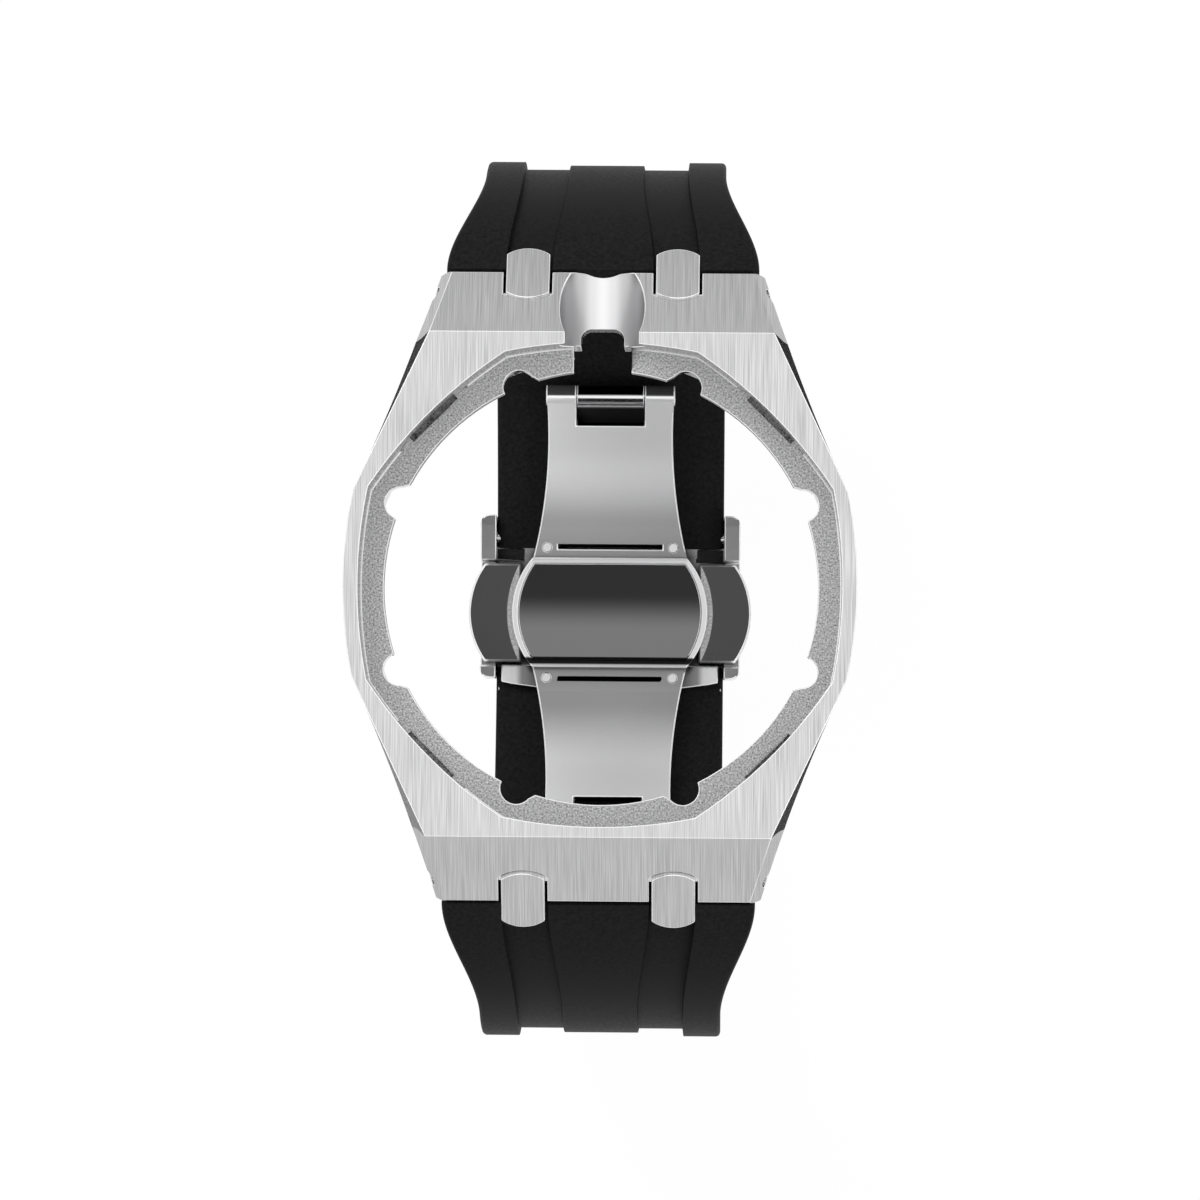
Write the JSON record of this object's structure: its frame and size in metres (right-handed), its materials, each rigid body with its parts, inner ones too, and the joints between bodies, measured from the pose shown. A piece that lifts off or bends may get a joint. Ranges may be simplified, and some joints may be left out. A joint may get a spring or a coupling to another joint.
{
  "type": "watch case with strap",
  "caption": "Steel watch middle case with an octagonal recess, sloping lugs and a black rubber strap closed by a steel butterfly clasp with side push buttons.",
  "frame": {"origin": "centre of the movement opening, on the top face of the ledge the movement sits on", "axes": "+Z out of the front of the watch, +Y to twelve o'clock, +X to three o'clock"},
  "size_m": [0.0458, 0.081, 0.0671],
  "materials": {
    "brushed_steel": "brushed",
    "polished_steel": "polished",
    "dark_steel": "polished",
    "rubber": "matte"
  },
  "bodies": {
    "case": {"case_body": "brushed_steel", "lug_screw_upper_left": "polished_steel", "lug_screw_upper_right": "polished_steel", "lug_screw_lower_left": "polished_steel", "lug_screw_lower_right": "polished_steel"},
    "strap_top": {"strap_upper": "rubber", "link_upper_left": "brushed_steel", "link_upper_right": "brushed_steel", "link_bar_upper": "polished_steel", "cover_upper": "brushed_steel", "catch_plate_upper": "polished_steel", "strap_pin_upper": "polished_steel"},
    "blade_top": {"blade_upper": "polished_steel", "hinge_pin_upper": "polished_steel"},
    "clasp": {"clasp_base": "polished_steel", "bridge": "polished_steel", "bridge_plate": "dark_steel", "root_pin_upper_left": "polished_steel", "root_pin_upper_right": "polished_steel", "root_pin_lower_left": "polished_steel", "root_pin_lower_right": "polished_steel", "button_spring_left": "polished_steel", "button_spring_right": "polished_steel"},
    "push_left": {"button_left": "dark_steel"},
    "push_right": {"button_right": "dark_steel"},
    "strap_bottom": {"strap_lower": "rubber", "link_lower_left": "brushed_steel", "link_lower_right": "brushed_steel", "link_bar_lower": "polished_steel", "cover_lower": "brushed_steel", "catch_plate_lower": "polished_steel", "strap_pin_lower": "polished_steel", "end_bracket_lower": "polished_steel"},
    "blade_bottom": {"blade_lower": "polished_steel", "hinge_pin_lower": "polished_steel"}
  },
  "joints": [
    {"name": "clasp_open", "type": "hinge", "parent": "blade_top", "child": "clasp", "pos_m": [0, 0.02078, -0.04938], "axis": [-1, 0, 0], "range_deg": [0, 90]},
    {"name": "strap_top_swing", "type": "hinge", "parent": "case", "child": "strap_top", "pos_m": [0, 0.02591, 0.00158], "axis": [1, 0, 0], "range_deg": [0, 25]},
    {"name": "blade_top_fold", "type": "hinge", "parent": "strap_top", "child": "blade_top", "pos_m": [0, 0.00736, -0.05734], "axis": [1, 0, 0], "range_deg": [0, 85]},
    {"name": "strap_bottom_swing", "type": "hinge", "parent": "case", "child": "strap_bottom", "pos_m": [0, -0.02591, 0.00158], "axis": [-1, 0, 0], "range_deg": [0, 25]},
    {"name": "blade_bottom_fold", "type": "hinge", "parent": "strap_bottom", "child": "blade_bottom", "pos_m": [0, -0.00736, -0.05734], "axis": [-1, 0, 0], "range_deg": [0, 85]},
    {"name": "push_left_press", "type": "slide", "parent": "clasp", "child": "push_left", "axis": [1, 0, 0], "range_m": [0, 0.0008], "stiffness_N_per_m": 300},
    {"name": "push_right_press", "type": "slide", "parent": "clasp", "child": "push_right", "axis": [-1, 0, 0], "range_m": [0, 0.0008], "stiffness_N_per_m": 300}
  ],
  "couplings": [
    {"joint": "strap_top_swing", "follows": "clasp_open", "ratio": 0.22329},
    {"joint": "blade_top_fold", "follows": "clasp_open", "ratio": 0.77671},
    {"joint": "strap_bottom_swing", "follows": "clasp_open", "ratio": 0.22329},
    {"joint": "blade_bottom_fold", "follows": "clasp_open", "ratio": 0.77671}
  ]
}
